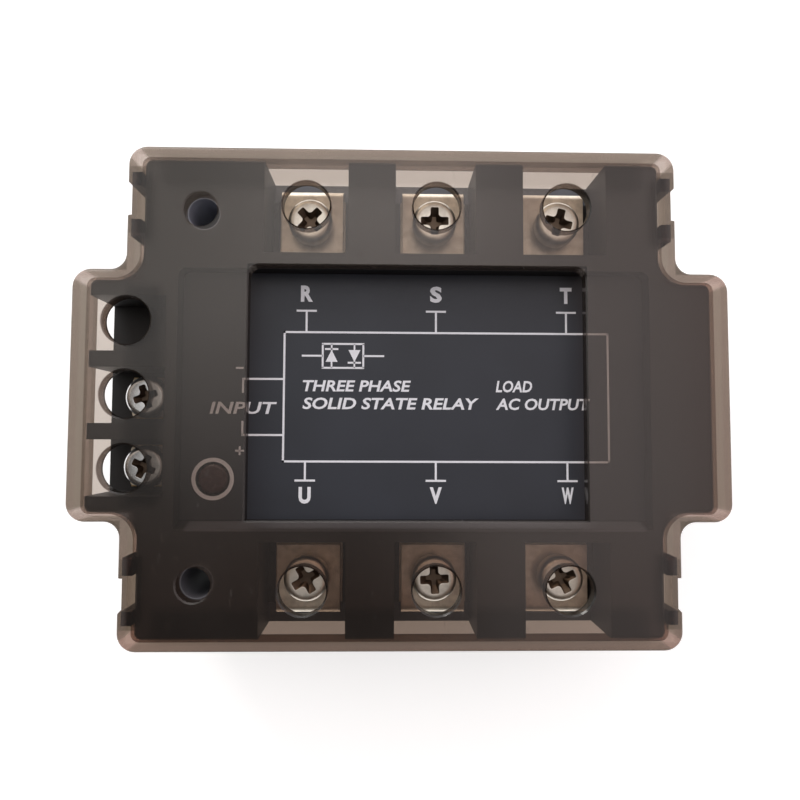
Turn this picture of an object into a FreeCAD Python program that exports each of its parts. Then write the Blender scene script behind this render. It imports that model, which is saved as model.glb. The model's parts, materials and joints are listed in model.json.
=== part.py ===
"""Three-phase solid state relay: a flat panel module under a smoked terminal cover.

Millimetres. X runs along the length through the two ears, Y runs from the U V W terminals to the
R S T terminals, and Z runs up through the label. The origin is at the centre of the footprint, on
the underside of the base plate. Each function builds one physical piece, or one set of identical
small ones, and the last section writes every piece to its own file.
"""
import FreeCAD, Part
import math
import os

# ---------------------------------------------------------------- driving dimensions
# cover outline: a plus shape, made of a wide body and two narrower ears
LENGTH = 100.0
WIDTH = 76.0
BODY_LENGTH = 84.0
EAR_WIDTH = 38.0
HEIGHT = 33.0
COVER_PLATE = 2.0
END_SKIRT_WALL = 1.5
SIDE_SKIRT_WALL = 1.0
SKIRT_BOTTOM = 27.0
COVER_GAP = 0.3
SIDE_GAP = 0.2
OUTER_ROUND = 2.8
INNER_ROUND = 2.4
COVER_EDGE_ROUND = 0.7
COVER_RIM_CHAMFER = 0.25

# housing under the cover
BASE_THICK = 3.0
BASE_INSET = 0.6
WALL = 2.0
HOUSING_TOP = HEIGHT - COVER_PLATE - COVER_GAP
END_INSET = END_SKIRT_WALL + COVER_GAP
SIDE_INSET = SIDE_SKIRT_WALL + SIDE_GAP
CAVITY_TOP = 19.4
CORE_TOP = 25.6

# load terminals, three along each long side
LOAD_NAMES_BACK = ("r", "s", "t")
LOAD_NAMES_FRONT = ("u", "v", "w")
LOAD_PITCH = 20.0
LOAD_MIDDLE_X = 5.1
LOAD_SCREW_Y = 28.4
LOAD_ACCESS_Y = 29.1
LOAD_BAY_WIDTH = 12.6
END_BAY_EXTRA = 0.5
LOAD_BAY_INNER_Y = 22.3
LOAD_FLOOR = 22.0
LOAD_STEP_Y = 33.3
LOAD_STEP_FLOOR = 20.4
LOAD_WELL_DEPTH = 8.6

# control terminals, two of the three bays in the left ear
CONTROL_SCREW_X = -40.9
CONTROL_ACCESS_X = -41.7
CONTROL_PITCH = 11.1
CONTROL_BAY_WIDTH = 8.6
CONTROL_BAY_INNER_X = -36.5
CONTROL_FLOOR = 21.2
CONTROL_WELL_DEPTH = 6.8
CONTROL_ROWS = {"minus": 0.0, "plus": -CONTROL_PITCH}
SPARE_ROW = CONTROL_PITCH
CONTROL_BAY_ROWS = (SPARE_ROW, 0.0, -CONTROL_PITCH)

ACCESS_RADIUS = 3.6
MOUNT_X = -30.95
MOUNT_Y = 28.2
MOUNT_RADIUS = 2.4
MOUNT_ACCESS_RADIUS = 2.55

# screw families: shank radius, head radius, head height, rounding of the head's top edge, length
# under the head, and the length and width of the driver cross
LOAD_SCREW = {"shank": 1.95, "head": 3.5, "head_height": 2.7, "crown": 0.9, "length": 10.0,
              "cross": 4.8, "blade": 1.4}
CONTROL_SCREW = {"shank": 1.70, "head": 3.35, "head_height": 2.3, "crown": 0.8, "length": 8.0,
                 "cross": 4.3, "blade": 1.15}
SCREW_FIT = 0.05
SHANK_HOLE = 0.35
LOAD_TURN = {"r": 45.0, "s": 0.0, "t": -15.0, "u": 30.0, "v": 3.0, "w": 25.0}
CONTROL_TURN = {"minus": 20.0, "plus": 65.0}

# clamp stack above a terminal plate
TERMINAL_THICK = 1.0
CONTROL_TERMINAL_THICK = 0.8
CLAMP_GAP = 0.3
CLAMP_THICK = 1.0
CONTROL_CLAMP_THICK = 0.8
LOAD_WASHER_THICK = 0.9
CONTROL_WASHER_THICK = 0.7
HEAD_GAP = 0.1
CLAMP_WIDTH = 10.2
CLAMP_OUTER_Y = 34.5
CLAMP_INNER_Y = 23.6
CLAMP_BEND = 1.1
CLAMP_LIP_GAP = 0.3
TERMINAL_WIDTH = 10.8
TERMINAL_OUTER_Y = 33.0
CONTROL_CLAMP_SIDE = 6.4
CONTROL_TERMINAL_WIDTH = 6.8
NUT_SIDE = 7.0
NUT_THICK = 3.2
CONTROL_NUT_SIDE = 6.0
CONTROL_NUT_THICK = 2.8
BOSS_MARGIN = 1.3
WELL_RADIUS = 2.4
CONTROL_WELL_RADIUS = 2.1
WELL_FLOOR = 1.2

# label recess in the top of the housing, with a sloped lower side
RECESS_LEFT = -34.7
RECESS_RIGHT = 38.5
RECESS_BACK = 19.7
RECESS_FRONT = -19.35
RECESS_SLOPE = 1.0
RECESS_ROUND = 1.2
LABEL_TOP = 28.1
LABEL_THICK = 0.3
LABEL_MARGIN = 0.1

# window in the cover over the label
WINDOW_LEFT = -23.5
WINDOW_RIGHT = 27.9
WINDOW_FRONT = -18.75
WINDOW_BACK = 19.7
WINDOW_ROUND = 1.8

# indicator
LED_X = -29.5
LED_Y = -12.9
LED_RADIUS = 2.5
LED_BODY_BOTTOM = 19.6

# latches: a loop of two legs and a crossbar that hooks under a nub on the housing
LATCH_OUTER_LEG = (32.5, 34.6)
LATCH_INNER_LEG = (24.5, 27.2)
LATCH_BOTTOM = 10.4
LATCH_BAR_TOP = 12.8
LATCH_STEP = 0.8
NUB_Z = (13.2, 16.4)
NUB_REACH = 1.5
NUB_MARGIN = 0.5

# control electronics
BOARD_BOTTOM = 14.0
BOARD_THICK = 1.6
BOARD_LEFT = -33.5
BOARD_RIGHT = 36.0
BOARD_HALF_WIDTH = 17.4
SUBSTRATE_X = 17.0
SUBSTRATE_Y = 37.0
SUBSTRATE_THICK = 0.7
PAD_THICK = 0.3
PAD_MARGIN = 1.0
PAD_NEAR_Y = 1.0
PAD_FAR_Y = 18.0
CHIP_SIDE = 8.0
CHIP_THICK = 0.5
CHIP_Y = 7.5
GATE_WIRE_RADIUS = 0.4
GATE_OFFSET = 2.5
LEAD_PLANE_Y = 18.6
LEAD_WIDTH = 5.0
CONTROL_LEAD_WIDTH = 3.0
LEAD_WIRE = 0.5
RESISTOR_RADIUS = 1.2
RESISTOR_LENGTH = 6.2
RESISTOR_SPAN = 10.0
RESISTOR_LIFT = 1.6
RESISTOR_Y = 11.0
COUPLER_X = 8.8
COUPLER_Y = 6.4
COUPLER_Z = (0.6, 4.0)
PIN_PITCH = 2.54
PIN_WIDTH = 0.6
PIN_REACH = 3.9
CAPACITOR_X = 8.0
CAPACITOR_Y = (5.0, 8.6)
CAPACITOR_Z = 7.0
RECTIFIER_X = (-29.0, -23.0)
RECTIFIER_Y = (2.0, 8.0)
RECTIFIER_Z = 2.6
LED_LEAD_RADIUS = 0.28
GEL_TOP = 10.0

OUT = "parts"
Z_AXIS = FreeCAD.Vector(0, 0, 1)


# ---------------------------------------------------------------- small helpers
def at(x, y, z):
    return FreeCAD.Vector(x, y, z)


def box(x0, x1, y0, y1, z0, z1):
    """Box between two opposite corners, given as ranges that may be in either order."""
    low = at(min(x0, x1), min(y0, y1), min(z0, z1))
    return Part.makeBox(abs(x1 - x0), abs(y1 - y0), abs(z1 - z0), low)


def rod(radius, x, y, z0, z1):
    return Part.makeCylinder(radius, z1 - z0, at(x, y, z0))


def fuse(pieces):
    whole = pieces[0]
    for piece in pieces[1:]:
        whole = whole.fuse(piece)
    return whole.removeSplitter()


def vertical_edges(shape, keep=lambda x, y: True):
    """Straight edges that run along Z at a place that the test accepts."""
    found = []
    for edge in shape.Edges:
        ends = [vertex.Point for vertex in edge.Vertexes]
        if len(ends) == 2 and math.hypot(ends[0].x - ends[1].x, ends[0].y - ends[1].y) < 1e-6:
            if keep(ends[0].x, ends[0].y):
                found.append(edge)
    return found


def edges_at_height(shape, z):
    return [edge for edge in shape.Edges
            if abs(edge.BoundBox.ZMin - z) < 1e-4 and abs(edge.BoundBox.ZMax - z) < 1e-4]


def plus_prism(end_inset, side_inset, z0, z1):
    """Plus-shaped prism: the cover outline moved in at its ends and its long sides, corners rounded."""
    half_length = LENGTH / 2 - end_inset
    half_body = BODY_LENGTH / 2 - end_inset
    half_width = WIDTH / 2 - side_inset
    half_ear = EAR_WIDTH / 2 - side_inset
    bar = box(-half_length, half_length, -half_ear, half_ear, z0, z1)
    block = box(-half_body, half_body, -half_width, half_width, z0, z1)
    plus = fuse([block, bar])

    def is_inner(x, y):
        return abs(abs(x) - half_body) < 0.01 and abs(abs(y) - half_ear) < 0.01

    def is_outer(x, y):
        on_body = abs(abs(x) - half_body) < 0.01 and abs(abs(y) - half_width) < 0.01
        on_ear = abs(abs(x) - half_length) < 0.01 and abs(abs(y) - half_ear) < 0.01
        return on_body or on_ear

    plus = plus.makeFillet(INNER_ROUND + end_inset, vertical_edges(plus, is_inner))
    return plus.makeFillet(max(OUTER_ROUND - end_inset, 0.8), vertical_edges(plus, is_outer))


def load_places():
    """Name, X and side (+1 back, -1 front) of the six load terminals."""
    for index, name in enumerate(LOAD_NAMES_BACK):
        yield name, LOAD_MIDDLE_X + (index - 1) * LOAD_PITCH, 1
    for index, name in enumerate(LOAD_NAMES_FRONT):
        yield name, LOAD_MIDDLE_X + (index - 1) * LOAD_PITCH, -1


def load_bay_span(x):
    """Lowest and highest X of the bay around a load terminal; the two end bays reach out a little."""
    left = x - LOAD_BAY_WIDTH / 2
    right = x + LOAD_BAY_WIDTH / 2
    if x < LOAD_MIDDLE_X:
        left -= END_BAY_EXTRA
    if x > LOAD_MIDDLE_X:
        right += END_BAY_EXTRA
    return left, right


def spin(shape, x, y, degrees):
    turned = shape.copy()
    turned.rotate(at(x, y, 0), Z_AXIS, degrees)
    return turned


# ---------------------------------------------------------------- base and housing
def base_plate():
    """Aluminium heat-spreading plate under the body, with the two mounting holes."""
    half_x = BODY_LENGTH / 2 - END_INSET - BASE_INSET
    half_y = WIDTH / 2 - SIDE_INSET - BASE_INSET
    plate = box(-half_x, half_x, -half_y, half_y, 0, BASE_THICK)
    plate = plate.makeFillet(1.5, vertical_edges(plate))
    for side in (-1, 1):
        plate = plate.cut(rod(MOUNT_RADIUS, MOUNT_X, side * MOUNT_Y, -1, BASE_THICK + 1))
    return plate


def nub(end, side):
    """Wedge on the housing's end wall that a cover latch hooks under."""
    wall_x = BODY_LENGTH / 2 - END_INSET
    points = [
        at(wall_x - 0.5, 0, NUB_Z[0]),
        at(wall_x + NUB_REACH, 0, NUB_Z[0]),
        at(wall_x + NUB_REACH, 0, NUB_Z[0] + 0.8),
        at(wall_x, 0, NUB_Z[1]),
        at(wall_x - 0.5, 0, NUB_Z[1]),
    ]
    face = Part.Face(Part.makePolygon(points + points[:1]))
    low = LATCH_INNER_LEG[1] + NUB_MARGIN
    high = LATCH_OUTER_LEG[0] - NUB_MARGIN
    wedge = face.extrude(at(0, high - low, 0))
    wedge.translate(at(0, low, 0))
    if side < 0:
        wedge = wedge.mirror(at(0, 0, 0), at(0, 1, 0))
    if end < 0:
        wedge = wedge.mirror(at(0, 0, 0), at(1, 0, 0))
    return wedge


def label_recess():
    """Shallow pocket for the label; its front side leans outward."""
    floor = LABEL_TOP - LABEL_THICK
    above = HOUSING_TOP + 1.0
    pocket = box(RECESS_LEFT, RECESS_RIGHT, RECESS_FRONT, RECESS_BACK, floor, above)
    pocket = pocket.makeFillet(RECESS_ROUND, vertical_edges(pocket, lambda x, y: y > 0))
    slope = RECESS_SLOPE / (HOUSING_TOP - floor) * (above - floor)
    points = [
        at(RECESS_LEFT, RECESS_FRONT, floor),
        at(RECESS_LEFT, RECESS_FRONT - slope, above),
        at(RECESS_LEFT, RECESS_FRONT + 1.0, above),
        at(RECESS_LEFT, RECESS_FRONT + 1.0, floor),
    ]
    lean = Part.Face(Part.makePolygon(points + points[:1])).extrude(at(RECESS_RIGHT - RECESS_LEFT, 0, 0))
    return pocket.fuse(lean)


def body_cavity(z0, z1):
    """Room inside the housing's four body walls."""
    half_x = BODY_LENGTH / 2 - END_INSET - WALL
    half_y = WIDTH / 2 - SIDE_INSET - WALL
    return box(-half_x, half_x, -half_y, half_y, z0, z1)


def ear_pocket(end, ceiling):
    """Hollow under one ear, open below and walled off from the body."""
    near = BODY_LENGTH / 2 - END_INSET
    far = LENGTH / 2 - END_INSET - WALL
    half = EAR_WIDTH / 2 - SIDE_INSET - WALL
    return box(end * near, end * far, -half, half, BASE_THICK - 1, ceiling)


def load_pocket(x, side):
    """Solid boss and the hollows of one load terminal: bay, lower step, nut pocket, well and lead slot."""
    left, right = load_bay_span(x)
    edge_y = side * WIDTH / 2
    screw_y = side * LOAD_SCREW_Y
    boss = NUT_SIDE / 2 + BOSS_MARGIN
    nut = NUT_SIDE / 2
    nut_bottom = LOAD_FLOOR - NUT_THICK
    well_bottom = LOAD_FLOOR - LOAD_WELL_DEPTH
    lead = LEAD_WIDTH / 2
    solid = box(x - boss, x + boss, screw_y - boss, screw_y + boss, well_bottom - WELL_FLOOR, CAVITY_TOP)
    hollows = [
        box(left, right, side * LOAD_BAY_INNER_Y, edge_y, LOAD_FLOOR, HEIGHT),
        box(left, right, side * LOAD_STEP_Y, edge_y, LOAD_STEP_FLOOR, HEIGHT),
        box(x - nut, x + nut, screw_y - nut, screw_y + nut, nut_bottom, LOAD_FLOOR + 0.1),
        rod(WELL_RADIUS, x, screw_y, well_bottom, nut_bottom + 0.1),
        box(x - lead, x + lead, side * (LOAD_BAY_INNER_Y + 0.1), side * (LOAD_BAY_INNER_Y - WALL - 0.1),
            LOAD_FLOOR, LOAD_FLOOR + TERMINAL_THICK),
    ]
    return solid, hollows


def control_pocket(row):
    """Solid boss and the hollows of one control terminal: nut pocket, well and lead slot."""
    x = CONTROL_SCREW_X
    boss = CONTROL_NUT_SIDE / 2 + BOSS_MARGIN
    nut = CONTROL_NUT_SIDE / 2
    nut_bottom = CONTROL_FLOOR - CONTROL_NUT_THICK
    well_bottom = CONTROL_FLOOR - CONTROL_WELL_DEPTH
    lead = CONTROL_LEAD_WIDTH / 2
    solid = box(x - boss, x + boss, row - boss, row + boss, well_bottom - WELL_FLOOR, CAVITY_TOP)
    hollows = [
        box(x - nut, x + nut, row - nut, row + nut, nut_bottom, CONTROL_FLOOR + 0.1),
        rod(CONTROL_WELL_RADIUS, x, row, well_bottom, nut_bottom + 0.1),
        box(CONTROL_BAY_INNER_X - 0.1, CONTROL_BAY_INNER_X + WALL + 0.1, row - lead, row + lead,
            CONTROL_FLOOR, CONTROL_FLOOR + CONTROL_TERMINAL_THICK),
    ]
    return solid, hollows


def housing():
    """Black moulded case: open below, with terminal bays cut into its two long sides and left ear."""
    body = plus_prism(END_INSET, SIDE_INSET, BASE_THICK, HOUSING_TOP)
    body = body.makeChamfer(0.4, edges_at_height(body, HOUSING_TOP))
    core = box(CONTROL_BAY_INNER_X + WALL, RECESS_RIGHT - 1.0, -LOAD_BAY_INNER_Y + WALL,
               LOAD_BAY_INNER_Y - WALL, CAVITY_TOP - 1, CORE_TOP)
    body = body.cut(body_cavity(BASE_THICK - 1, CAVITY_TOP)).cut(core)
    for end, ceiling in ((-1, CONTROL_FLOOR - WALL), (1, HOUSING_TOP - WALL)):
        body = body.cut(ear_pocket(end, ceiling))

    solids = [body]
    hollows = [label_recess(), rod(LED_RADIUS + 0.05, LED_X, LED_Y, CORE_TOP - 1, HOUSING_TOP)]
    for name, x, side in load_places():
        solid, more = load_pocket(x, side)
        solids.append(solid)
        hollows += more
    for row in CONTROL_BAY_ROWS:
        half = CONTROL_BAY_WIDTH / 2
        hollows.append(box(CONTROL_BAY_INNER_X, -LENGTH / 2, row - half, row + half, CONTROL_FLOOR, HEIGHT))
    for row in CONTROL_ROWS.values():
        solid, more = control_pocket(row)
        solids.append(solid)
        hollows += more
    for side in (-1, 1):
        solids.append(rod(MOUNT_RADIUS + WALL, MOUNT_X, side * MOUNT_Y, BASE_THICK, CAVITY_TOP + 0.1))
        solids += [nub(end, side) for end in (-1, 1)]
        hollows.append(rod(MOUNT_RADIUS, MOUNT_X, side * MOUNT_Y, BASE_THICK - 1, HEIGHT))

    body = fuse(solids)
    for hollow in hollows:
        body = body.cut(hollow)
    return body.removeSplitter()


def label():
    """Printed plate in the recess, with a round opening over the indicator."""
    plate = box(RECESS_LEFT + LABEL_MARGIN, RECESS_RIGHT - LABEL_MARGIN, RECESS_FRONT + LABEL_MARGIN,
                RECESS_BACK - LABEL_MARGIN, LABEL_TOP - LABEL_THICK, LABEL_TOP)
    plate = plate.makeFillet(RECESS_ROUND, vertical_edges(plate, lambda x, y: y > 0))
    return plate.cut(rod(LED_RADIUS + 0.1, LED_X, LED_Y, LABEL_TOP - 1, LABEL_TOP + 1))


# ---------------------------------------------------------------- cover
def window():
    opening = box(WINDOW_LEFT, WINDOW_RIGHT, WINDOW_FRONT, WINDOW_BACK, SKIRT_BOTTOM, HEIGHT + 1)
    return opening.makeFillet(WINDOW_ROUND, vertical_edges(opening, lambda x, y: y > 0))


def latch_notch(end, side):
    """Material taken off the cover's end edge between the legs of one latch, with a slanted outer side."""
    edge = BODY_LENGTH / 2
    inner = edge - LATCH_STEP
    low = LATCH_INNER_LEG[1]
    high = LATCH_OUTER_LEG[0]
    points = [
        at(inner, low, 0),
        at(inner, high - LATCH_STEP, 0),
        at(edge + 0.1, high + 0.1, 0),
        at(edge + 1, high + 0.1, 0),
        at(edge + 1, low, 0),
    ]
    notch = Part.Face(Part.makePolygon(points + points[:1])).extrude(at(0, 0, HEIGHT))
    if side < 0:
        notch = notch.mirror(at(0, 0, 0), at(0, 1, 0))
    if end < 0:
        notch = notch.mirror(at(0, 0, 0), at(1, 0, 0))
    return notch


def is_cover_rim(edge):
    """True for the top edge of a round hole, or of the window."""
    middle = edge.CenterOfMass
    in_window = WINDOW_LEFT - 0.1 < middle.x < WINDOW_RIGHT + 0.1 and abs(middle.y) < WINDOW_BACK + 0.1
    return len(edge.Vertexes) == 1 or in_window


def cover():
    """Smoked terminal cover: a plate with a short skirt, driver holes and a window over the label."""
    shell = plus_prism(0, 0, SKIRT_BOTTOM, HEIGHT)
    shell = shell.makeFillet(COVER_EDGE_ROUND, edges_at_height(shell, HEIGHT))
    under_plate = HEIGHT - COVER_PLATE
    shell = shell.cut(plus_prism(END_SKIRT_WALL, SIDE_SKIRT_WALL, SKIRT_BOTTOM - 1, under_plate))
    cuts = [window()]
    for name, x, side in load_places():
        cuts.append(rod(ACCESS_RADIUS, x, side * LOAD_ACCESS_Y, under_plate - 1, HEIGHT + 1))
    for row in CONTROL_BAY_ROWS:
        cuts.append(rod(ACCESS_RADIUS, CONTROL_ACCESS_X, row, under_plate - 1, HEIGHT + 1))
    edge_x = BODY_LENGTH / 2
    for side in (-1, 1):
        cuts.append(rod(MOUNT_ACCESS_RADIUS, MOUNT_X, side * MOUNT_Y, under_plate - 1, HEIGHT + 1))
        for end in (-1, 1):
            cuts.append(latch_notch(end, side))
            cuts.append(box(end * (edge_x - END_SKIRT_WALL), end * (edge_x + 1), side * LATCH_INNER_LEG[0],
                            side * LATCH_OUTER_LEG[1], SKIRT_BOTTOM - 1, under_plate))
    for tool in cuts:
        shell = shell.cut(tool)
    rims = [edge for edge in edges_at_height(shell, HEIGHT) if is_cover_rim(edge)]
    return shell.makeChamfer(COVER_RIM_CHAMFER, rims)


def cover_latches():
    """Four spring loops that hang from the cover's end edges."""
    loops = []
    outer = BODY_LENGTH / 2
    inner = outer - END_SKIRT_WALL
    top = HEIGHT - COVER_PLATE
    for end in (-1, 1):
        for side in (-1, 1):
            pieces = [box(end * inner, end * outer, side * leg[0], side * leg[1], LATCH_BOTTOM, top)
                      for leg in (LATCH_INNER_LEG, LATCH_OUTER_LEG)]
            pieces.append(box(end * inner, end * outer, side * LATCH_INNER_LEG[0], side * LATCH_OUTER_LEG[1],
                              LATCH_BOTTOM, LATCH_BAR_TOP))
            loops.append(fuse(pieces))
    return Part.makeCompound(loops)


# ---------------------------------------------------------------- terminals
def clamp_bottom(control=False):
    if control:
        return CONTROL_FLOOR + CONTROL_TERMINAL_THICK + CLAMP_GAP
    return LOAD_FLOOR + TERMINAL_THICK + CLAMP_GAP


def washer_bottom(control=False):
    return clamp_bottom(control) + (CONTROL_CLAMP_THICK if control else CLAMP_THICK)


def head_bottom(control=False):
    return washer_bottom(control) + (CONTROL_WASHER_THICK if control else LOAD_WASHER_THICK) + HEAD_GAP


def load_terminal(x, side):
    """Copper strip: flat under the clamp, then through the wall and down to the power substrate."""
    half = TERMINAL_WIDTH / 2
    lead = LEAD_WIDTH / 2
    top = LOAD_FLOOR + TERMINAL_THICK
    foot_top = BASE_THICK + SUBSTRATE_THICK + PAD_THICK + TERMINAL_THICK
    foot_y = LEAD_PLANE_Y - 5.0
    flat = box(x - half, x + half, side * (LOAD_BAY_INNER_Y + 0.3), side * TERMINAL_OUTER_Y, LOAD_FLOOR, top)
    neck = box(x - lead, x + lead, side * LEAD_PLANE_Y, side * (LOAD_BAY_INNER_Y + 0.4), LOAD_FLOOR, top)
    drop = box(x - lead, x + lead, side * LEAD_PLANE_Y, side * (LEAD_PLANE_Y + TERMINAL_THICK),
               foot_top - TERMINAL_THICK, top)
    foot = box(x - lead, x + lead, side * foot_y, side * (LEAD_PLANE_Y + TERMINAL_THICK),
               foot_top - TERMINAL_THICK, foot_top)
    strip = fuse([flat, neck, drop, foot])
    return strip.cut(rod(LOAD_SCREW["shank"] + SHANK_HOLE, x, side * LOAD_SCREW_Y, LOAD_FLOOR - 1, top + 1))


def load_clamp(x, side):
    """Saddle plate whose outer edge bends down in front of the terminal, with a small middle notch."""
    bottom = clamp_bottom()
    top = bottom + CLAMP_THICK
    half = CLAMP_WIDTH / 2
    lip_bottom = LOAD_STEP_FLOOR + CLAMP_LIP_GAP
    plate = box(x - half, x + half, side * CLAMP_INNER_Y, side * CLAMP_OUTER_Y, lip_bottom, top)
    bend = [edge for edge in edges_at_height(plate, top)
            if abs(abs(edge.CenterOfMass.y) - CLAMP_OUTER_Y) < 0.01]
    plate = plate.makeFillet(CLAMP_BEND, bend)
    lip_inner = CLAMP_OUTER_Y - CLAMP_THICK
    plate = plate.cut(box(x - half - 1, x + half + 1, side * (CLAMP_INNER_Y - 1), side * lip_inner,
                          lip_bottom - 1, bottom))
    notch = box(x - 0.8, x + 0.8, side * (CLAMP_OUTER_Y - 0.5), side * (CLAMP_OUTER_Y + 1),
                lip_bottom - 1, bottom + 0.2)
    plate = plate.cut(notch)
    return plate.cut(rod(LOAD_SCREW["shank"] + SHANK_HOLE, x, side * LOAD_SCREW_Y, bottom - 1, top + 1))


def lock_washer(x, y, screw, z0, thick):
    """Split spring washer."""
    ring = rod(screw["head"] - 0.5, x, y, z0, z0 + thick)
    ring = ring.cut(rod(screw["shank"] + 0.15, x, y, z0 - 1, z0 + thick + 1))
    split = box(x, x + screw["head"] + 1, y - 0.35, y + 0.35, z0 - 1, z0 + thick + 1)
    return ring.cut(spin(split, x, y, 35.0))


def pan_screw(x, y, screw, z0, turn):
    """Pan head screw with a cross recess; the plain shank stands for the thread."""
    top = z0 + screw["head_height"]
    head = rod(screw["head"], x, y, z0, top)
    head = head.makeFillet(screw["crown"], edges_at_height(head, top))
    shank = rod(screw["shank"], x, y, z0 - screw["length"], z0)
    shank = shank.makeChamfer(0.5, edges_at_height(shank, z0 - screw["length"]))
    screw_body = fuse([head, shank])
    half = screw["cross"] / 2
    blade = screw["blade"] / 2
    depth = screw["head_height"] * 0.62
    for angle in (turn, turn + 90.0):
        slot = box(x - half, x + half, y - blade, y + blade, top - depth, top + 1)
        screw_body = screw_body.cut(spin(slot, x, y, angle))
    centre = Part.makeCone(0.5, blade * 2.0, depth, at(x, y, top - depth))
    return screw_body.cut(centre)


def square_nut(x, y, side_length, thick, bore, top):
    half = side_length / 2
    nut = box(x - half, x + half, y - half, y + half, top - thick, top)
    return nut.cut(rod(bore, x, y, top - thick - 1, top + 1))


def load_nuts():
    bore = LOAD_SCREW["shank"] + SCREW_FIT
    return Part.makeCompound([
        square_nut(x, side * LOAD_SCREW_Y, NUT_SIDE, NUT_THICK, bore, LOAD_FLOOR)
        for name, x, side in load_places()
    ])


def control_nuts():
    bore = CONTROL_SCREW["shank"] + SCREW_FIT
    return Part.makeCompound([
        square_nut(CONTROL_SCREW_X, row, CONTROL_NUT_SIDE, CONTROL_NUT_THICK, bore, CONTROL_FLOOR)
        for row in CONTROL_ROWS.values()
    ])


def control_terminal(row):
    """Brass strip: flat under the clamp, then through the wall and down to the control board."""
    half = CONTROL_TERMINAL_WIDTH / 2
    lead = CONTROL_LEAD_WIDTH / 2
    top = CONTROL_FLOOR + CONTROL_TERMINAL_THICK
    plate_right = CONTROL_BAY_INNER_X - 0.3
    lead_right = CONTROL_BAY_INNER_X + WALL + 1.6
    pin_left = lead_right - CONTROL_TERMINAL_THICK
    flat = box(CONTROL_SCREW_X - half, plate_right, row - half, row + half, CONTROL_FLOOR, top)
    neck = box(plate_right - 0.1, lead_right, row - lead, row + lead, CONTROL_FLOOR, top)
    drop = box(pin_left, lead_right, row - lead, row + lead, BOARD_BOTTOM + BOARD_THICK, top)
    strip = fuse([flat, neck, drop])
    hole = rod(CONTROL_SCREW["shank"] + SHANK_HOLE, CONTROL_SCREW_X, row, CONTROL_FLOOR - 1, top + 1)
    return strip.cut(hole)


def control_clamp(row):
    """Square clamp washer."""
    bottom = clamp_bottom(control=True)
    half = CONTROL_CLAMP_SIDE / 2
    plate = box(CONTROL_SCREW_X - half, CONTROL_SCREW_X + half, row - half, row + half,
                bottom, bottom + CONTROL_CLAMP_THICK)
    plate = plate.makeFillet(0.6, vertical_edges(plate))
    return plate.cut(rod(CONTROL_SCREW["shank"] + SHANK_HOLE, CONTROL_SCREW_X, row, bottom - 1, bottom + 2))


# ---------------------------------------------------------------- electronics
def phase_x(index):
    return LOAD_MIDDLE_X + (index - 1) * LOAD_PITCH


def substrate(index):
    """Ceramic tile that insulates one phase's chips from the base plate."""
    x = phase_x(index)
    return box(x - SUBSTRATE_X / 2, x + SUBSTRATE_X / 2, -SUBSTRATE_Y / 2, SUBSTRATE_Y / 2,
               BASE_THICK, BASE_THICK + SUBSTRATE_THICK)


def copper_pads():
    """Copper tracks on the three ceramic tiles, one under each thyristor and lead."""
    low = BASE_THICK + SUBSTRATE_THICK
    pads = []
    for index in range(3):
        left = phase_x(index) - SUBSTRATE_X / 2 + PAD_MARGIN
        right = phase_x(index) + SUBSTRATE_X / 2 - PAD_MARGIN
        for side in (-1, 1):
            pads.append(box(left, right, side * PAD_NEAR_Y, side * PAD_FAR_Y, low, low + PAD_THICK))
    return Part.makeCompound(pads)


def thyristor(index, side):
    """Power chip soldered to its pad, inboard of the load lead's foot."""
    x = phase_x(index)
    low = BASE_THICK + SUBSTRATE_THICK + PAD_THICK
    y = side * CHIP_Y
    half = CHIP_SIDE / 2
    return box(x - half, x + half, y - half, y + half, low, low + CHIP_THICK)


def gate_leads():
    """Stiff wires from each thyristor's gate up to the control board."""
    low = BASE_THICK + SUBSTRATE_THICK + PAD_THICK + CHIP_THICK
    return Part.makeCompound([
        rod(GATE_WIRE_RADIUS, phase_x(index) + GATE_OFFSET, side * CHIP_Y, low, BOARD_BOTTOM)
        for index in range(3) for side in (-1, 1)
    ])


def control_board():
    """Circuit board above the power stage."""
    return box(BOARD_LEFT, BOARD_RIGHT, -BOARD_HALF_WIDTH, BOARD_HALF_WIDTH,
               BOARD_BOTTOM, BOARD_BOTTOM + BOARD_THICK)


def optocoupler(index):
    """Six-pin trigger coupler for one phase."""
    x = phase_x(index)
    low = BOARD_BOTTOM + BOARD_THICK
    half_x = COUPLER_X / 2
    half_y = COUPLER_Y / 2
    half_pin = PIN_WIDTH / 2
    pieces = [box(x - half_x, x + half_x, -half_y, half_y, low + COUPLER_Z[0], low + COUPLER_Z[1])]
    for step in (-1, 0, 1):
        pin_x = x + step * PIN_PITCH
        for side in (-1, 1):
            pieces.append(box(pin_x - half_pin, pin_x + half_pin, side * (half_y - 0.1), side * PIN_REACH,
                              low, low + COUPLER_Z[1] / 2))
    return fuse(pieces)


def resistor(x, y):
    """Axial resistor lying on the board, with its two bent leads."""
    low = BOARD_BOTTOM + BOARD_THICK
    middle_z = low + RESISTOR_LIFT
    half = LEAD_WIRE / 2
    reach = RESISTOR_SPAN / 2
    start = at(x - RESISTOR_LENGTH / 2, y, middle_z)
    body = Part.makeCylinder(RESISTOR_RADIUS, RESISTOR_LENGTH, start, FreeCAD.Vector(1, 0, 0))
    wire = box(x - reach, x + reach, y - half, y + half, middle_z - half, middle_z + half)
    legs = [box(x + end * reach, x + end * (reach - LEAD_WIRE), y - half, y + half, low, middle_z)
            for end in (-1, 1)]
    return fuse([body, wire] + legs)


def gate_resistors():
    return Part.makeCompound([
        resistor(phase_x(index), side * RESISTOR_Y) for index in range(3) for side in (-1, 1)
    ])


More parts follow.
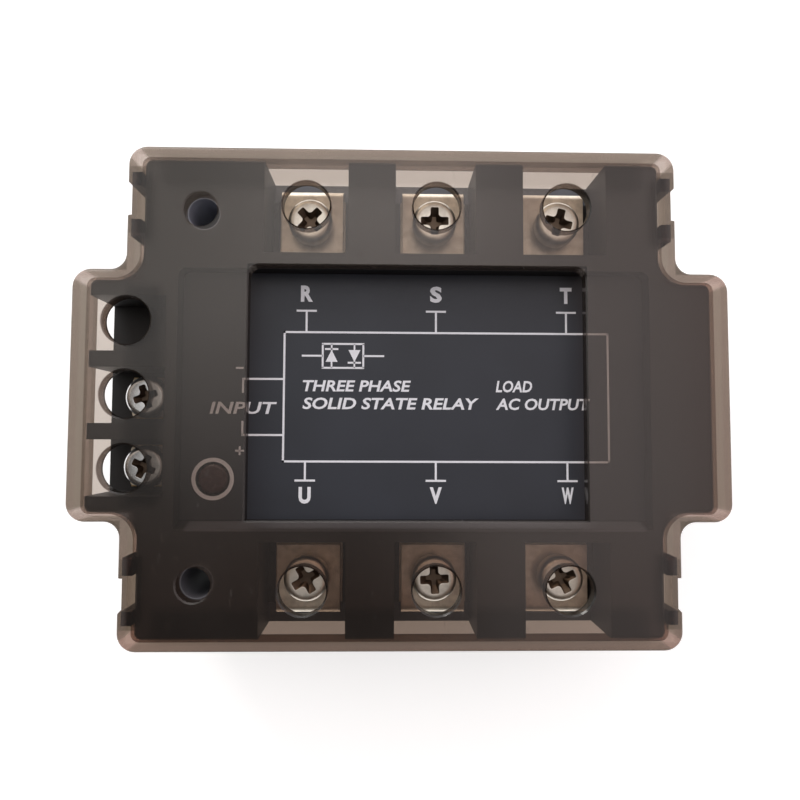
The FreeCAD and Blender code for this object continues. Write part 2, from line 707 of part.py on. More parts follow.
def snubber_capacitors():
    """Film capacitors, one beside each phase's coupler."""
    low = BOARD_BOTTOM + BOARD_THICK
    blocks = []
    for index in range(3):
        left = phase_x(index) - CAPACITOR_X / 2
        block = box(left, left + CAPACITOR_X, CAPACITOR_Y[0], CAPACITOR_Y[1], low, low + CAPACITOR_Z)
        blocks.append(block.makeFillet(0.6, vertical_edges(block)))
    return Part.makeCompound(blocks)


def bridge_rectifier():
    """Input protection block near the control terminals."""
    low = BOARD_BOTTOM + BOARD_THICK
    return box(RECTIFIER_X[0], RECTIFIER_X[1], RECTIFIER_Y[0], RECTIFIER_Y[1], low, low + RECTIFIER_Z)


def indicator():
    """Round-topped red lamp that fills the opening in the label."""
    tip = LABEL_TOP
    dome = LED_RADIUS * 0.28
    body = rod(LED_RADIUS, LED_X, LED_Y, LED_BODY_BOTTOM, tip)
    body = body.makeFillet(dome, edges_at_height(body, tip))
    flange = rod(LED_RADIUS + 0.4, LED_X, LED_Y, LED_BODY_BOTTOM, LED_BODY_BOTTOM + 1.0)
    return fuse([body, flange])


def indicator_leads():
    low = BOARD_BOTTOM + BOARD_THICK
    return Part.makeCompound([
        rod(LED_LEAD_RADIUS, LED_X + end * PIN_PITCH / 2, LED_Y, low, LED_BODY_BOTTOM) for end in (-1, 1)
    ])


def gel_fill(buried):
    """Silicone that covers the power stage, moulded around everything that stands in it."""
    fill = body_cavity(BASE_THICK, GEL_TOP)
    for shape in buried:
        fill = fill.cut(shape)
    for side in (-1, 1):
        fill = fill.cut(rod(MOUNT_RADIUS + WALL, MOUNT_X, side * MOUNT_Y, BASE_THICK - 1, GEL_TOP + 1))
    return fill


# ---------------------------------------------------------------- all pieces
def build():
    pieces = {
        "base_plate": base_plate(),
        "housing": housing(),
        "label": label(),
        "cover": cover(),
        "cover_latches": cover_latches(),
        "load_nuts": load_nuts(),
        "control_nuts": control_nuts(),
        "copper_pads": copper_pads(),
        "gate_leads": gate_leads(),
        "control_board": control_board(),
        "gate_resistors": gate_resistors(),
        "snubber_capacitors": snubber_capacitors(),
        "bridge_rectifier": bridge_rectifier(),
        "indicator": indicator(),
        "indicator_leads": indicator_leads(),
    }
    for name, x, side in load_places():
        y = side * LOAD_SCREW_Y
        pieces["terminal_" + name] = load_terminal(x, side)
        pieces["clamp_" + name] = load_clamp(x, side)
        pieces["washer_" + name] = lock_washer(x, y, LOAD_SCREW, washer_bottom(), LOAD_WASHER_THICK)
        pieces["screw_" + name] = pan_screw(x, y, LOAD_SCREW, head_bottom(), LOAD_TURN[name])
    for name, row in CONTROL_ROWS.items():
        pieces["terminal_" + name] = control_terminal(row)
        pieces["clamp_" + name] = control_clamp(row)
        pieces["washer_" + name] = lock_washer(CONTROL_SCREW_X, row, CONTROL_SCREW, washer_bottom(True),
                                               CONTROL_WASHER_THICK)
        pieces["screw_" + name] = pan_screw(CONTROL_SCREW_X, row, CONTROL_SCREW, head_bottom(True),
                                            CONTROL_TURN[name])
    for index in range(3):
        number = str(index + 1)
        pieces["substrate_" + number] = substrate(index)
        pieces["optocoupler_" + number] = optocoupler(index)
        pieces["thyristor_" + number + "a"] = thyristor(index, 1)
        pieces["thyristor_" + number + "b"] = thyristor(index, -1)
    buried = [shape for name, shape in pieces.items()
              if name.startswith(("substrate", "thyristor", "terminal", "copper", "gate_leads"))]
    pieces["gel_fill"] = gel_fill(buried)
    return pieces


os.makedirs(OUT, exist_ok=True)
for node, shape in build().items():
    shape.exportStep(os.path.join(OUT, node + ".step"))
    print(node, round(shape.Volume, 1), shape.isValid(), len(shape.Solids))
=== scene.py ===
# %% [markdown]
# # A three-phase solid state relay, built round its CAD frame
# This is a flat panel relay: a black moulded case on an aluminium plate, nickel screw
# terminals in open bays, a printed label, and a smoked plastic cover that clips over it all.
# The CAD frame already holds every part at its real size, so this script adds the things that
# make it look real: finishes, the printed marks, and screws with proper driver recesses.

# %% Load the frame
import json
import math

import bmesh
import bpy
from mathutils import Matrix, Vector

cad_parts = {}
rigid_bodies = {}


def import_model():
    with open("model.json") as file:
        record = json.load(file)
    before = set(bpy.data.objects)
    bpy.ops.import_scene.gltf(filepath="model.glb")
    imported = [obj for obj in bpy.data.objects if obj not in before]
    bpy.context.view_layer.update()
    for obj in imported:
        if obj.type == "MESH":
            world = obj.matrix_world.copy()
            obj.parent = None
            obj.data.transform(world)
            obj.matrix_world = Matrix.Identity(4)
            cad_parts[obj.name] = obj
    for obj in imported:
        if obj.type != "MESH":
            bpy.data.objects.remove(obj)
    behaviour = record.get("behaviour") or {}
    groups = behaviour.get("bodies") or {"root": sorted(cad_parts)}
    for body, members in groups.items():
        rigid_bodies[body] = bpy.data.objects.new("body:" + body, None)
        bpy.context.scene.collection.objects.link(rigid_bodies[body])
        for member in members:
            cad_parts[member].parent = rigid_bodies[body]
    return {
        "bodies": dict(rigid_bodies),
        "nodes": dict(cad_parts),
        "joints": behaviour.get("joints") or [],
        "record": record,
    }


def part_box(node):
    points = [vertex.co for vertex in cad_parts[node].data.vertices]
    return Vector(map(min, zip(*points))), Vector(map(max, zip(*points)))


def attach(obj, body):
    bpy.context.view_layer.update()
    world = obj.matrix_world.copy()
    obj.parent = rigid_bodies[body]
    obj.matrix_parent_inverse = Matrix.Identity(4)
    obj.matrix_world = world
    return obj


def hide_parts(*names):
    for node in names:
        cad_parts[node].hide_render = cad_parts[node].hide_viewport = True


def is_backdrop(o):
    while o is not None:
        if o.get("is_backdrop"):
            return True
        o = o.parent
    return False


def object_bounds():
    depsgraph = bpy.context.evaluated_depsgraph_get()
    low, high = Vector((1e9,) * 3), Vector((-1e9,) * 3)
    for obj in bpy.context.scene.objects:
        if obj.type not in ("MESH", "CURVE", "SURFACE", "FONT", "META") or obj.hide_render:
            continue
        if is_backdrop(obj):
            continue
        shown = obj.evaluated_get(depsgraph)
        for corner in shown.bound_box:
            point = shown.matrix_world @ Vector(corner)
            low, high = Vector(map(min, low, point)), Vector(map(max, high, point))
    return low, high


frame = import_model()
cad_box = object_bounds()
nodes = frame["nodes"]
MM = 0.001

# %% [markdown]
# ## Camera
# The relay is looked at from just above, as when it lies on a bench: a wide lens held close,
# a little to the left of the middle and below it. A close lens shows the inner sides of the
# bays, which is why its place matters more here than for a distant view.

# %% Set up the camera
LENS_MM = 29.85
CAMERA_PLACE = Vector((-2.71, -6.28, 132.58)) * MM
CAMERA_TILT = (0.0559, -0.0224, 0.0051)

camera = bpy.data.objects.new("bench_camera", bpy.data.cameras.new("bench_camera"))
bpy.context.collection.objects.link(camera)
camera.data.sensor_width = 36.0
camera.data.lens = LENS_MM
camera.data.clip_start = 0.005
camera.rotation_mode = "ZYX"
camera.location = CAMERA_PLACE
camera.rotation_euler = CAMERA_TILT
bpy.context.scene.camera = camera
print("camera stands", round(CAMERA_PLACE.z / MM), "mm above the bench")

# %% [markdown]
# ## Light
# Flat plastic shows mostly what it mirrors, so the light here is a sky rather than lamps. It is
# bright behind the R S T side and dark above the front edge. That change falls within a few
# tens of degrees of straight up, so the back half of the cover mirrors the bright part and the
# front half the dark part. A low lamp behind adds small sparkles to bends and screw edges.
# Seen directly, the sky is swapped for an even pale backdrop, so what the relay mirrors and what
# stands behind it differ.

# %% Set up the light
SKY_STOPS = ((0.0, 0.14), (0.24, 0.05), (0.42, 0.11), (0.60, 0.88), (0.78, 1.16), (1.0, 1.32))
LEFT_TINT = (1.0, 0.99, 0.965)
RIGHT_TINT = (1.0, 0.90, 0.90)
LEFT_SLOPE, RIGHT_SLOPE = 0.95, 0.25
RIGHT_SHIFT = 0.12
GLOW = 0.75
GLOW_RISE = (0.1, 0.36)
GLOW_WIDTH = (0.05, 0.32)
SIDE_CHANGE = (-0.03, 0.2)
MIDDLE = 0.5
TINT_RATE, TINT_START = 1.4, 0.4
BACKDROP = (0.98, 0.98, 0.98, 1.0)
LAMP_PLACE = Vector((-0.45, 0.95, 0.55))
LAMP_SIZE = 0.4
LAMP_WATTS = 4.0


def make_sky():
    """A sky from dark in front to bright behind. The change is steep on the left and gentle on the right."""
    world = bpy.data.worlds.new("studio_sky")
    world.use_nodes = True
    tree = world.node_tree

    def sum_node(operation, first, second):
        made = tree.nodes.new("ShaderNodeMath")
        made.operation = operation
        for index, value in enumerate((first, second)):
            if isinstance(value, float):
                made.inputs[index].default_value = value
            else:
                tree.links.new(value, made.inputs[index])
        return made.outputs[0]

    split = tree.nodes.new("ShaderNodeSeparateXYZ")
    tree.links.new(tree.nodes.new("ShaderNodeTexCoord").outputs["Generated"], split.inputs[0])

    def smooth_step(value, start, end, low, high):
        step = tree.nodes.new("ShaderNodeMapRange")
        step.interpolation_type = "SMOOTHSTEP"
        tree.links.new(value, step.inputs["Value"])
        for socket, number in zip(("From Min", "From Max", "To Min", "To Max"), (start, end, low, high)):
            step.inputs[socket].default_value = number
        return step.outputs[0]

    slope = smooth_step(split.outputs["X"], *SIDE_CHANGE, LEFT_SLOPE, RIGHT_SLOPE)
    shift = smooth_step(split.outputs["X"], *SIDE_CHANGE, MIDDLE, MIDDLE + RIGHT_SHIFT)
    lean = sum_node("ADD", sum_node("MULTIPLY", split.outputs["Y"], slope), shift)
    aside = sum_node("ABSOLUTE", split.outputs["X"], 0.0)
    behind = smooth_step(split.outputs["Y"], *GLOW_RISE, 0.0, GLOW)
    glow = sum_node("MULTIPLY", behind, smooth_step(aside, *GLOW_WIDTH, 1.0, 0.0))
    ramp = tree.nodes.new("ShaderNodeValToRGB")
    ramp.color_ramp.interpolation = "B_SPLINE"
    while len(ramp.color_ramp.elements) < len(SKY_STOPS):
        ramp.color_ramp.elements.new(0.5)
    for element, (position, level) in zip(ramp.color_ramp.elements, SKY_STOPS):
        element.position = position
        element.color = (level, level, level, 1.0)
    tree.links.new(lean, ramp.inputs[0])
    tint = tree.nodes.new("ShaderNodeMix")
    tint.data_type = "RGBA"
    tint.inputs[6].default_value = (*LEFT_TINT, 1.0)
    tint.inputs[7].default_value = (*RIGHT_TINT, 1.0)
    across = sum_node("MULTIPLY", split.outputs["X"], TINT_RATE)
    tree.links.new(sum_node("ADD", across, TINT_START), tint.inputs[0])
    product = tree.nodes.new("ShaderNodeVectorMath")
    product.operation = "MULTIPLY"
    tree.links.new(sum_node("ADD", ramp.outputs[0], glow), product.inputs[0])
    tree.links.new(tint.outputs[2], product.inputs[1])
    seen = tree.nodes.new("ShaderNodeMix")
    seen.data_type = "RGBA"
    seen.inputs[7].default_value = BACKDROP
    tree.links.new(tree.nodes.new("ShaderNodeLightPath").outputs["Is Camera Ray"], seen.inputs[0])
    tree.links.new(product.outputs[0], seen.inputs[6])
    tree.links.new(seen.outputs[2], tree.nodes["Background"].inputs["Color"])
    return world


def area_light(name, place, target, size, watts, colour):
    """A square soft light that points at a target."""
    light = bpy.data.objects.new(name, bpy.data.lights.new(name, "AREA"))
    light.data.shape = "SQUARE"
    light.data.size = size
    light.data.energy = watts
    light.data.color = colour
    light.location = place
    light.rotation_euler = (Vector(target) - Vector(place)).to_track_quat("-Z", "Y").to_euler()
    bpy.context.collection.objects.link(light)
    return light


bpy.context.scene.world = make_sky()
bpy.context.scene.view_settings.view_transform = "Standard"
area_light("low_lamp", LAMP_PLACE, (0, 0, 0), LAMP_SIZE, LAMP_WATTS, (1.0, 0.97, 0.93))
print("sky runs from", min(level for _, level in SKY_STOPS), "to", max(level for _, level in SKY_STOPS))

# %% [markdown]
# ## Shader arithmetic
# Procedural finishes are sums and products of patterns. A small class wraps a socket so that
# those sums can be written as plain Python, and one method adds every other kind of node.

# %% Shader helpers
class Wire:
    """A socket that does arithmetic by adding Math nodes."""

    def __init__(self, finish, socket):
        self.finish = finish
        self.socket = socket

    def math(self, operation, first, second):
        return self.finish.node("ShaderNodeMath", {"operation": operation}, {0: first, 1: second})

    def __add__(self, other):
        return self.math("ADD", self, other)

    def __sub__(self, other):
        return self.math("SUBTRACT", self, other)

    def __rsub__(self, other):
        return self.math("SUBTRACT", other, self)

    def __pow__(self, power):
        return self.math("POWER", self, power)

    def __abs__(self):
        return self.math("ABSOLUTE", self, 0.0)

    def __mul__(self, other):
        return self.math("MULTIPLY", self, other)

    __radd__ = __add__
    __rmul__ = __mul__


class Finish:
    """A material being built."""

    def __init__(self, name):
        self.material = bpy.data.materials.new(name)
        self.material.use_nodes = True
        self.tree = self.material.node_tree
        self.tree.nodes.clear()

    def node(self, kind, settings=None, sockets=None, output=0):
        """Add one node: its settings first, then the values or wires of its sockets."""
        made = self.tree.nodes.new(kind)
        for key, value in (settings or {}).items():
            if key == "stops":
                set_stops(made.color_ramp, value)
            else:
                setattr(made, key, value)
        for key, value in (sockets or {}).items():
            if isinstance(value, Wire):
                self.tree.links.new(value.socket, made.inputs[key])
            else:
                made.inputs[key].default_value = value
        return Wire(self, made.outputs[output])

    def place(self, stretch=(1, 1, 1)):
        """Object coordinates, in millimetres along each axis times a stretch."""
        raw = self.node("ShaderNodeTexCoord", output="Object")
        scale = tuple(1000.0 * share for share in stretch)
        return self.node("ShaderNodeMapping", {}, {"Vector": raw, "Scale": scale})

    def noise(self, size_mm, stretch=(1, 1, 1), detail=2.0):
        """Smooth noise with features about that size, from 0 to 1."""
        sockets = {"Vector": self.place(stretch), "Scale": 1.0 / size_mm, "Detail": detail}
        return self.node("ShaderNodeTexNoise", {}, sockets)

    def axes(self):
        """The X, Y and Z of a point on the piece, in millimetres."""
        split = self.node("ShaderNodeSeparateXYZ", {}, {0: self.place()})
        return [Wire(self, split.socket.node.outputs[index]) for index in range(3)]

    def least(self, first, second):
        return self.node("ShaderNodeMath", {"operation": "MINIMUM"}, {0: first, 1: second})

    def most(self, first, second):
        return self.node("ShaderNodeMath", {"operation": "MAXIMUM"}, {0: first, 1: second})

    def fade(self, value, start, end):
        """0 below start and 1 above end, with a smooth step between."""
        return self.node("ShaderNodeMapRange", {"interpolation_type": "SMOOTHSTEP"},
                         {"Value": value, "From Min": start, "From Max": end})

    def mixed(self, share, first, second):
        return self.node("ShaderNodeMixShader", {}, {0: share, 1: first, 2: second})

    def ramp(self, value, *stops):
        return self.node("ShaderNodeValToRGB", {"stops": stops}, {0: value})

    def bump(self, height, depth_mm, normal=None):
        sockets = {"Height": height, "Distance": depth_mm * MM, "Strength": 1.0}
        if normal is not None:
            sockets["Normal"] = normal
        return self.node("ShaderNodeBump", {}, sockets)

    def soft_edges(self, radius_mm):
        return self.node("ShaderNodeBevel", {"samples": 4}, {"Radius": radius_mm * MM})

    def principled(self, **sockets):
        named = {key.replace("_", " ").title(): value for key, value in sockets.items()}
        return self.node("ShaderNodeBsdfPrincipled", {}, named)

    def done(self, shader):
        end = self.tree.nodes.new("ShaderNodeOutputMaterial")
        self.tree.links.new(shader.socket, end.inputs["Surface"])
        return self.material


def set_stops(ramp, stops):
    """Give a colour ramp its (position, colour) stops."""
    while len(ramp.elements) < len(stops):
        ramp.elements.new(0.5)
    for element, (position, colour) in zip(ramp.elements, stops):
        element.position = position
        element.color = (*colour, 1.0) if len(colour) == 3 else colour


# %% [markdown]
# ## Finishes
# Each finish is made once and shared by the parts that really have it.

# %% Black moulded plastic
def moulded_black(name, shade, roughness, painted=None):
    """Mould texture: a fine faint grain and broad changes of gloss, with a share in a paler colour that is
    painted light.
    """
    finish = Finish(name)
    grain = finish.noise(0.3, detail=2.0)
    patches = finish.noise(9.0)
    darker, lighter = (tuple(c * share for c in shade) for share in (0.85, 1.2))
    colour = finish.ramp(patches, (0.3, darker), (0.7, lighter))
    rough = roughness + patches * 0.12 + grain * 0.06
    # A share of the surface can be painted paler, as painted light.
    if painted is not None:
        share, pale = painted(finish)
        sockets = {0: share, 6: colour, 7: (*pale, 1.0)}
        colour = finish.node("ShaderNodeMix", {"data_type": "RGBA"}, sockets, 2)
    normal = finish.bump(grain, 0.0006, finish.soft_edges(0.15))
    return finish.done(finish.principled(base_color=colour, roughness=rough, normal=normal))


RECESS_EDGE = (-20.75, -19.3)
RECESS_SPAN = (-33.5, 38.0)
BORE_X, BORE_Y, BORE_RADIUS = -30.95, 28.2, 2.42
STRIP_FROM_Y = 33.2
PAINTED_LIGHT_COLOUR = (0.31, 0.335, 0.40)


def painted_light_places(finish):
    """Where painted light makes the case paler than the rest, as a share, and the paler colour.

    The places are the sloped lower side of the label recess, the two bores, the rear one more
    than the front one, and the strip of floor outside the load bays. The shades are chosen.
    They don't stand for another plastic or another surface.
    """
    x, y, z = finish.axes()
    low, high = RECESS_EDGE
    left, right = RECESS_SPAN
    # The sloped lower side of the label recess is painted paler, as the light falling on it.
    band = finish.fade(y, low, low + 0.25) * finish.fade(y * -1.0, -high, 0.2 - high)
    along = finish.fade(x, left, left + 1.0) * finish.fade(x * -1.0, -right, 1.0 - right)
    height = finish.fade(z, 27.0, 27.4)
    # The bores are painted paler as lit walls, the rear one more than the front one.
    from_bore = ((x - BORE_X) ** 2.0 + (abs(y) - BORE_Y) ** 2.0) ** 0.5
    bore = 1.0 - finish.fade(from_bore, BORE_RADIUS, BORE_RADIUS + 0.2)
    rear_more = 0.35 + finish.fade(y, -5.0, 5.0) * 0.65
    # The floor strip outside the load bays is painted paler, as a painted reflection.
    floor_level = finish.fade(z, 20.0, 20.2) * (1.0 - finish.fade(z, 20.6, 21.2))
    strip = finish.fade(abs(y), STRIP_FROM_Y, STRIP_FROM_Y + 0.3) * floor_level
    lit_lip_and_strip = finish.most(band * along * height * 0.32, strip * 0.30)
    return finish.most(lit_lip_and_strip, bore * rear_more), PAINTED_LIGHT_COLOUR


CASE_BLACK = moulded_black("case_black", (0.016, 0.015, 0.016), 0.42, painted_light_places)
CHIP_BLACK = moulded_black("chip_black", (0.022, 0.022, 0.024), 0.5)


# %% [markdown]
# ## Smoked cover
# The tint over the bays, a dark band inside the skirt and the darker front are painted shade.
# The cover is one moulding of tinted clear plastic. A real ray that runs down inside the skirt
# crosses far more plastic than one that crosses the flat plate, so the skirt looks darker and
# milkier. Surface shaders don't see that depth. Here the outline of the cover is measured in
# the shader itself, as the distance to the nearest edge of its plus shape, and that distance
# chooses between a clear tint for the plate, a deeper one for the skirt and a dark rim line.
# Some tints are local and chosen, not worked out from the plastic: over the ends of the
# load bays, behind the control rows, at the latch loops, round the openings, and a browner
# front and right side. They are fixed to the cover and move with it when it is lifted off.
# Real smoked plastic also blurs what lies deep behind it. These shaders don't.

# %% Smoked plastic
PLATE_TINT = (0.78, 0.735, 0.70)
# Browner tints for the front, where they are a painted shade, and for the right end.
BROWNER_PLATE_TINT = (0.70, 0.60, 0.545)
SKIRT_TINT = (0.73, 0.645, 0.60)
BROWNER_SKIRT_TINT = (0.60, 0.46, 0.41)
RIM_TINT = (0.36, 0.31, 0.26)
HOLE_TINT = (0.15, 0.115, 0.095)
LATCH_TINT = (0.12, 0.07, 0.065)
HAZE = (0.26, 0.225, 0.21)
DRIVER_RADIUS, DRIVER_Y, DRIVER_PITCH, DRIVER_MIDDLE = 3.6, 29.1, 20.0, 5.1
CONTROL_X, CONTROL_PITCH = -41.7, 11.1
WINDOW = (-23.5, 27.9, -18.75, 19.7)
FAR = 20.0
LATCH_SPAN = (24.3, 34.8)


def to_outline(finish):
    """How far a point lies inside the cover's plus-shaped outline, in millimetres."""
    x, y, _ = finish.axes()
    across, along = abs(y), abs(x)
    body = finish.least(42.0 - along, 38.0 - across)
    ears = finish.least(50.0 - along, 19.0 - across)
    return finish.most(body, ears)


def repeat_distance(finish, value, pitch, middle):
    """Distance to the nearest of evenly spaced places, one of which is the middle."""
    shifted = value + (pitch * 10.5 - middle)
    wrapped = finish.node("ShaderNodeMath", {"operation": "FLOORED_MODULO"}, {0: shifted, 1: pitch})
    return abs(wrapped - pitch / 2)


def to_openings(finish):
    """How far a point lies from the edge of the nearest driver hole or of the window, in millimetres."""
    x, y, _ = finish.axes()
    from_column = repeat_distance(finish, x, DRIVER_PITCH, DRIVER_MIDDLE)
    load = (from_column ** 2.0 + (abs(y) - DRIVER_Y) ** 2.0) ** 0.5
    load = load + finish.fade(x * -1.0, 22.0, 22.5) * FAR + finish.fade(x, 32.0, 32.5) * FAR
    from_row = repeat_distance(finish, y, CONTROL_PITCH, 0.0)
    control = ((x - CONTROL_X) ** 2.0 + from_row ** 2.0) ** 0.5
    control = control + finish.fade(abs(y), 15.5, 16.0) * FAR
    hole = abs(finish.least(load, control) - DRIVER_RADIUS)
    left, right, front, back = WINDOW
    frame = abs(finish.most(finish.most(left - x, x - right), finish.most(front - y, y - back)))
    return finish.least(hole, frame)


def latch_zone(finish):
    """1 over the four places where a latch loop hangs from the cover's end edges."""
    x, y, _ = finish.axes()
    near, far = LATCH_SPAN
    out = finish.fade(abs(x), 38.9, 39.3)
    return out * finish.fade(abs(y), near, near + 0.2) * (1.0 - finish.fade(abs(y), far - 0.2, far))


def skin_share(finish, strongest):
    """How much of what is seen is mirrored: a little face on, more at a slant, the same from both sides."""
    slant = finish.node("ShaderNodeLayerWeight", {}, {"Blend": 0.5}, 1)
    return 0.04 + (slant ** 4.0) * strongest


def see_through(finish, tint):
    return finish.node("ShaderNodeBsdfTransparent", {}, {"Color": (*tint, 1.0)})


def smoked_cover():
    finish = Finish("smoked_plastic")
    x, y, z = finish.axes()
    to_front, to_left = y * -1.0, x * -1.0
    depth = to_outline(finish)
    skirt = 1.0 - finish.fade(depth, 1.0, 1.8)
    rim_and_shade = finish.most(1.0 - finish.fade(depth, 0.1, 0.4), latch_zone(finish) * 0.85)
    # A dark band on the inner side of the skirt, low down and stronger toward the front, is painted shade in
    # the gap between skirt and case.
    skirt_gap_shade = finish.fade(depth, 0.8, 0.95) * (1.0 - finish.fade(depth, 1.9, 2.1))
    skirt_gap_shade = skirt_gap_shade * (1.0 - finish.fade(z, 29.0, 30.5))
    rim_and_shade = finish.most(rim_and_shade, skirt_gap_shade * (0.45 + finish.fade(to_front, 12.0, 36.0) * 0.3))
    # Over the load bays the cover is painted darker, more so toward the front: painted shade on the floor
    # below.
    over_bays = finish.fade(abs(y), 31.0, 33.0) * (1.0 - finish.fade(abs(x), 36.0, 38.0))
    bay_floor_shade = over_bays * (0.36 + finish.fade(to_front, 0.0, 20.0) * 0.16)
    rim_and_shade = finish.most(rim_and_shade, bay_floor_shade * (1.0 - skirt))
    opening_edge = 1.0 - finish.fade(to_openings(finish), 0.1, 0.28)
    behind_rows = finish.fade(to_left, 36.0, 37.5) * (1.0 - finish.fade(to_left, 41.0, 42.5))
    smoke = finish.most(opening_edge, behind_rows * (1.0 - finish.fade(abs(y), 15.5, 17.5)) * 0.4)
    # Toward the front, the plate and skirt are painted browner and darker as painted shade. The right end is
    # browner as well.
    front_shade_right_brown = finish.most(finish.fade(to_front, 12.0, 36.0) * 0.85, finish.fade(x, 40.0, 49.0) * 0.6)
    smears = finish.noise(11.0, detail=3.0)
    scuffs = finish.fade(finish.noise(0.9, (1, 0.35, 1), 5.0), 0.66, 0.74)
    plate = finish.mixed(front_shade_right_brown, see_through(finish, PLATE_TINT), see_through(finish, BROWNER_PLATE_TINT))
    wall = finish.mixed(front_shade_right_brown, see_through(finish, SKIRT_TINT), see_through(finish, BROWNER_SKIRT_TINT))
    # The dark rim tint also carries the painted shades of the skirt gap and the bays.
    through = finish.mixed(rim_and_shade, finish.mixed(skirt * 0.85, plate, wall), see_through(finish, RIM_TINT))
    through = finish.mixed(smoke, through, see_through(finish, HOLE_TINT))
    milk = finish.node("ShaderNodeBsdfDiffuse", {}, {"Color": (*HAZE, 1.0)})
    filled = finish.mixed(0.025 + skirt * 0.13 + smears * 0.03 + scuffs * 0.04, through, milk)
    rough = 0.10 + skirt * 0.22 + smears * 0.10 + scuffs * 0.2
    skin = finish.node("ShaderNodeBsdfGlossy", {}, {"Roughness": rough, "Color": (1, 1, 1, 1)})
    return finish.done(finish.mixed(skin_share(finish, 0.35), filled, skin))


def smoked_latch():
    """The thin latch loops are seen end on, through their whole height, so they look nearly solid."""
    finish = Finish("smoked_latch")
    clear = see_through(finish, LATCH_TINT)
    milk = finish.node("ShaderNodeBsdfDiffuse", {}, {"Color": (0.10, 0.075, 0.07, 1.0)})
    smears = finish.noise(3.0, detail=3.0)
    filled = finish.mixed(0.30 + smears * 0.15, clear, milk)
    skin = finish.node("ShaderNodeBsdfGlossy", {}, {"Roughness": 0.18 + smears * 0.1, "Color": (1, 1, 1, 1)})
    return finish.done(finish.mixed(skin_share(finish, 0.3), filled, skin))


SMOKED = smoked_cover()
SMOKED_LATCH = smoked_latch()


# %% Metals
def plated(name, colour, roughness, brushing=(1, 1, 1)):
    """Plated steel: faint directional wear, small dull spots, softened edges."""
    finish = Finish(name)
    lines = finish.noise(0.6, brushing, 2.0)
    spots = finish.noise(1.3, detail=3.0)
    dull = tuple(c * 0.80 for c in colour)
    shade = finish.ramp(spots, (0.35, dull), (0.62, colour))
    rough = roughness + lines * 0.12 + spots * 0.08
    normal = finish.bump(lines, 0.0015, finish.soft_edges(0.14))
    return finish.done(finish.principled(base_color=shade, metallic=1.0, roughness=rough, normal=normal))


NICKEL = plated("nickel_plate", (0.96, 0.88, 0.75), 0.34, (1, 0.15, 1))
SCREW_NICKEL = plated("screw_nickel", (0.88, 0.82, 0.72), 0.30)
SCREW_ZINC = plated("screw_zinc", (0.82, 0.82, 0.82), 0.12)
# The dark finish of the driver recesses is a painted shade.
RECESS_SHADE_METAL = plated("driver_recess_shade", (0.13, 0.095, 0.07), 0.28)
BRASS = plated("brass", (0.78, 0.60, 0.32), 0.25)
COPPER = plated("copper", (0.85, 0.50, 0.36), 0.3)
ALUMINIUM = plated("aluminium_plate", (0.55, 0.56, 0.57), 0.36, (0.05, 2.5, 1))


# %% Label film, ink and lamp
def label_film():
    """Blue-black printed film with a very fine emboss."""
    finish = Finish("label_film")
    weave = finish.noise(0.35, detail=3.0)
    broad = finish.noise(14.0)
    colour = finish.ramp(broad, (0.3, (0.019, 0.022, 0.031)), (0.7, (0.025, 0.029, 0.041)))
    rough = 0.34 + weave * 0.2
    normal = finish.bump(weave, 0.006)
    return finish.done(finish.principled(base_color=colour, roughness=rough, normal=normal))


def plain(name, colour, roughness, mottling=0.12, **extra):
    """An even finish with a faint mottling."""
    finish = Finish(name)
    spots = finish.noise(1.2, detail=3.0)
    low = tuple(c * (1 - mottling) for c in colour)
    shade = finish.ramp(spots, (0.35, low), (0.65, colour))
    return finish.done(finish.principled(base_color=shade, roughness=roughness + spots * 0.1, **extra))


LABEL_FILM = label_film()
INK = plain("white_ink", (0.84, 0.85, 0.91), 0.45, 0.06)
LAMP = plain("lamp_red", (0.055, 0.018, 0.016), 0.22, 0.2)
BOARD = plain("board_green", (0.03, 0.14, 0.06), 0.3)
CERAMIC = plain("ceramic_white", (0.82, 0.82, 0.78), 0.35)
SILICON = plain("silicon", (0.12, 0.13, 0.16), 0.15)
RESISTOR = plain("resistor_tan", (0.55, 0.42, 0.25), 0.35)
CAPACITOR = plain("capacitor_mustard", (0.62, 0.42, 0.05), 0.35)
GEL = plain("potting_gel", (0.70, 0.70, 0.66), 0.3)

# %% [markdown]
# ## Dress the frame
# A CAD part whose shape is right keeps its mesh and only gets a finish.

# %% Give each CAD part its finish
SLOT_FINISH = {
    "aluminium": ALUMINIUM, "black_plastic": CASE_BLACK, "label": LABEL_FILM, "smoked_plastic": SMOKED,
    "nickel": NICKEL, "bright_steel": SCREW_ZINC, "brass": BRASS, "copper": COPPER, "ceramic": CERAMIC,
    "silicon": SILICON, "board": BOARD, "resistor": RESISTOR, "capacitor": CAPACITOR, "lamp": LAMP, "gel": GEL,
}


def dress(part, finish):
    part.data.materials.clear()
    part.data.materials.append(finish)


OWN_FINISH = {"cover_latches": SMOKED_LATCH, "optocoupler_1": CHIP_BLACK, "optocoupler_2": CHIP_BLACK,
              "optocoupler_3": CHIP_BLACK, "bridge_rectifier": CHIP_BLACK}
slot_of = {entry["node"]: entry["material_slot"] for entry in frame["record"]["subparts"]}
for name, part in nodes.items():
    dress(part, OWN_FINISH.get(name, SLOT_FINISH[slot_of[name]]))
print("dressed", len(nodes), "parts")

# %% [markdown]
# ## Mesh helpers

# %% Turn a bmesh into a piece
def piece_from(work, name, finish, body, slot_name, *replaced):
    """Finish a bmesh as a piece that rides on a body and may stand for CAD parts."""
    bmesh.ops.recalc_face_normals(work, faces=work.faces)
    mesh = bpy.data.meshes.new(name)
    work.to_mesh(mesh)
    work.free()
    for each in finish if isinstance(finish, tuple) else (finish,):
        mesh.materials.append(each)
    piece = bpy.data.objects.new(name, mesh)
    bpy.context.collection.objects.link(piece)
    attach(piece, body)
    if replaced:
        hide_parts(*replaced)
    return piece


